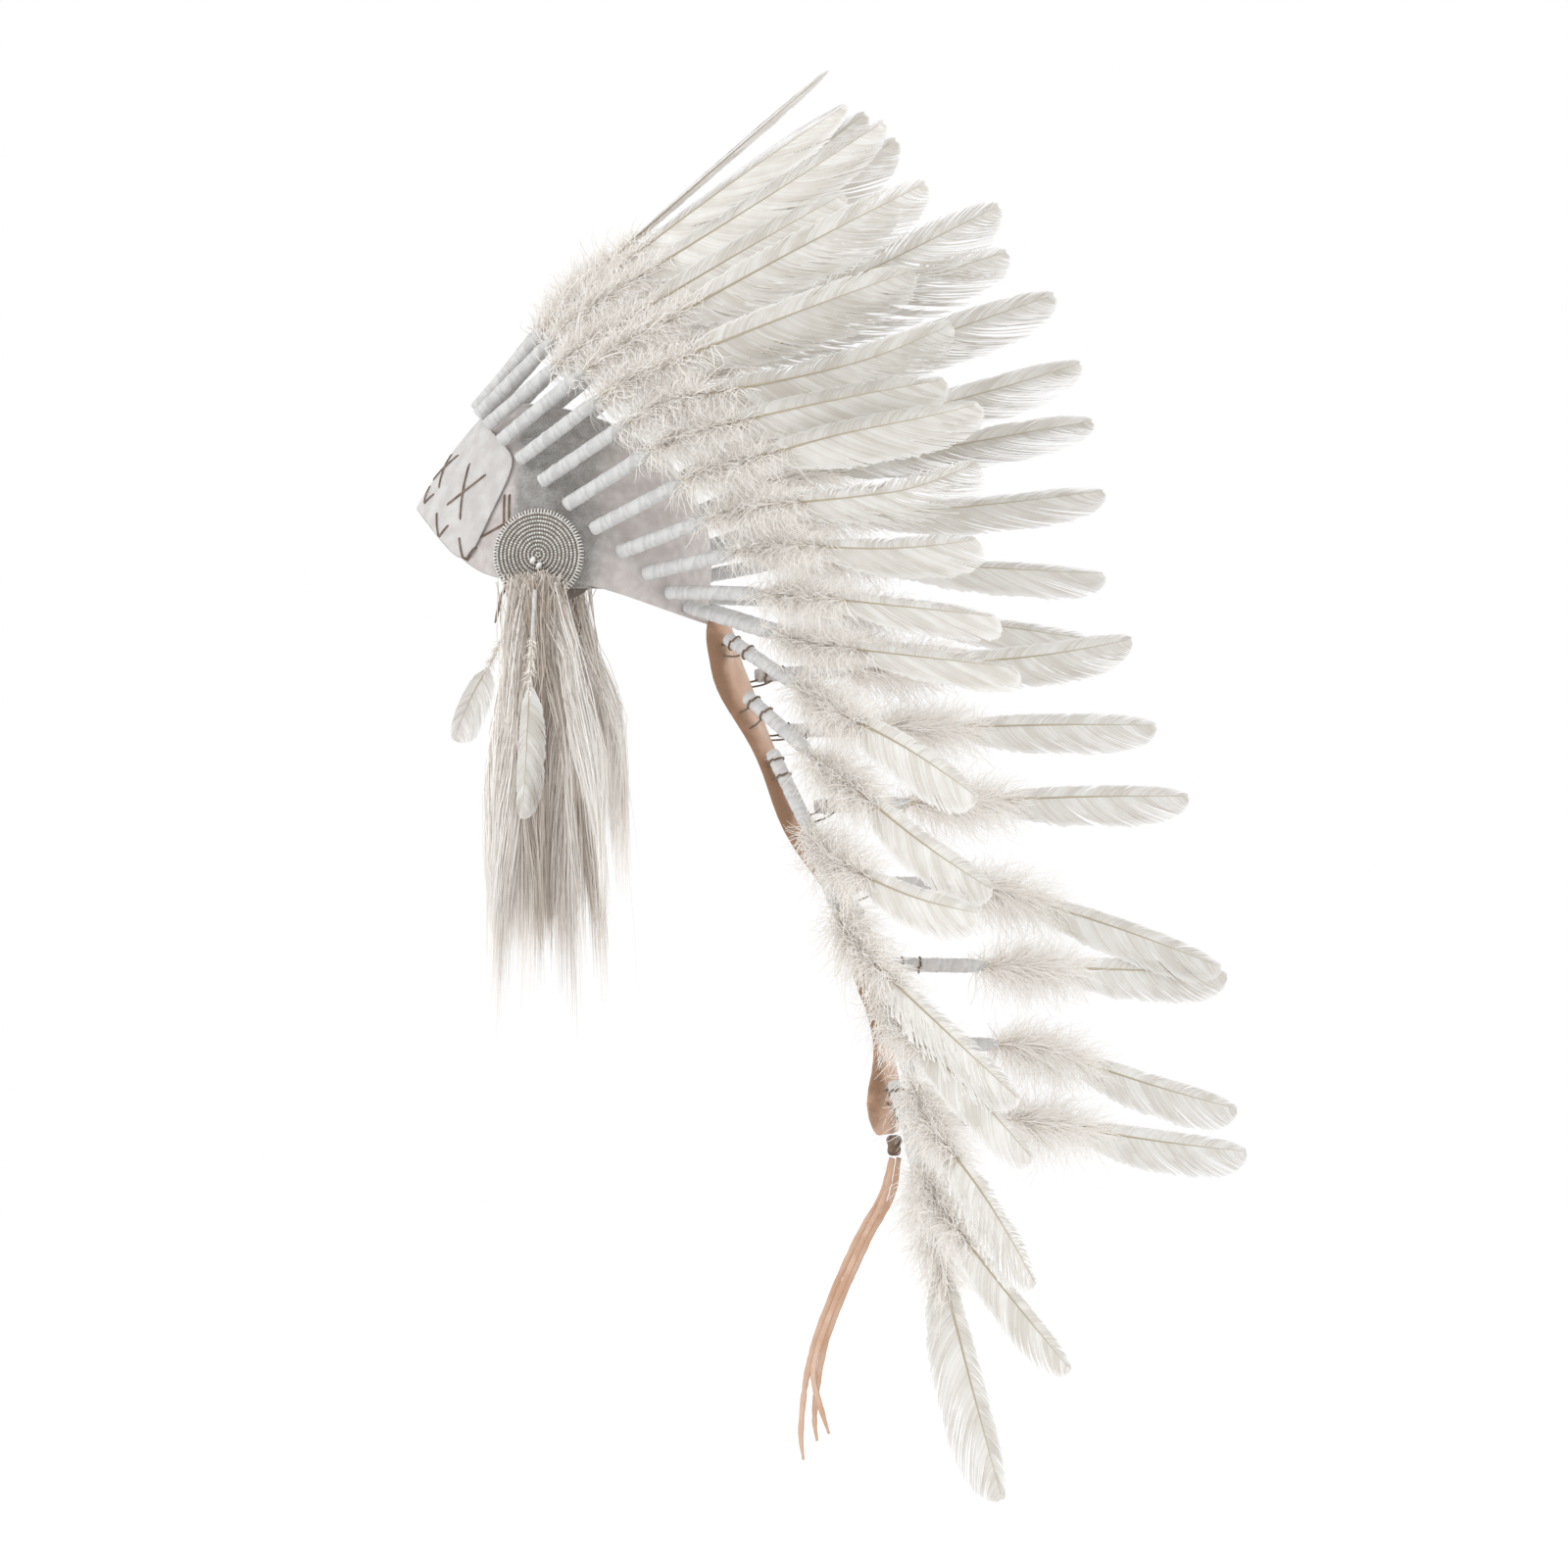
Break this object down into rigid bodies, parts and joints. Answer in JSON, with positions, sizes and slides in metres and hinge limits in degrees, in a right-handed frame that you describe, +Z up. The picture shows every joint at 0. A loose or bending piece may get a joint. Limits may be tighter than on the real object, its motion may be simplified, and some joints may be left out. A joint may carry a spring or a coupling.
{
  "type": "feathered headdress",
  "caption": "White feathered headdress: leather skull cap with laced brow band, fan of wrapped feathers, beaded temple rosettes with fur drops, and a feathered trailer.",
  "frame": {"origin": "where the crown of the wearer's head touches the cap from inside", "axes": "+Z up, -X the way the wearer faces, -Y the wearer's left side; the cap is tipped back as it is in the picture"},
  "size_m": [0.594, 0.5388, 1.0291],
  "materials": {
    "leather": "soft matt, faintly napped",
    "suede": "matt suede with darker cut edges",
    "feather": "soft white feather, thread-wrapped quill and down",
    "beadwork": "rings of small glossy seed beads",
    "bead": "glossy white",
    "thong": "brown buckskin",
    "fur": "long white hair over a beige underside"
  },
  "bodies": {
    "root": {"cap": "leather", "brow_band": "leather", "trailer": "suede", "crown_feather_12": "feather", "crown_feather_11": "feather", "crown_feather_13": "feather", "crown_feather_10": "feather", "crown_feather_14": "feather", "crown_feather_09": "feather", "crown_feather_15": "feather", "crown_feather_08": "feather", "crown_feather_16": "feather", "crown_feather_07": "feather", "crown_feather_17": "feather", "crown_feather_06": "feather", "crown_feather_18": "feather", "crown_feather_05": "feather", "crown_feather_19": "feather", "crown_feather_04": "feather", "crown_feather_20": "feather", "crown_feather_03": "feather", "crown_feather_21": "feather", "crown_feather_02": "feather", "crown_feather_22": "feather", "crown_feather_01": "feather", "crown_feather_23": "feather", "crown_feather_00": "feather", "crown_feather_24": "feather", "trail_feather_left_1": "feather", "trail_feather_left_2": "feather", "trail_feather_left_3": "feather", "trail_feather_left_4": "feather", "trail_feather_left_5": "feather", "trail_feather_left_6": "feather", "trail_feather_left_7": "feather", "trail_feather_left_8": "feather", "trail_feather_right_1": "feather", "trail_feather_right_2": "feather", "trail_feather_right_3": "feather", "trail_feather_right_4": "feather", "trail_feather_right_5": "feather", "trail_feather_right_6": "feather", "trail_feather_right_7": "feather", "rosette_left": "beadwork", "rosette_bead_left_1": "bead", "rosette_bead_left_2": "bead", "rosette_thong_left": "thong", "fur_drop_left": "fur", "drop_feather_left": "feather", "rosette_right": "beadwork", "rosette_bead_right_1": "bead", "rosette_bead_right_2": "bead", "rosette_thong_right": "thong", "fur_drop_right": "fur", "drop_feather_right": "feather", "tie_knot": "thong", "tie_strip_1": "suede", "tie_strip_2": "suede", "tie_strip_3": "suede"}
  },
  "joints": []
}
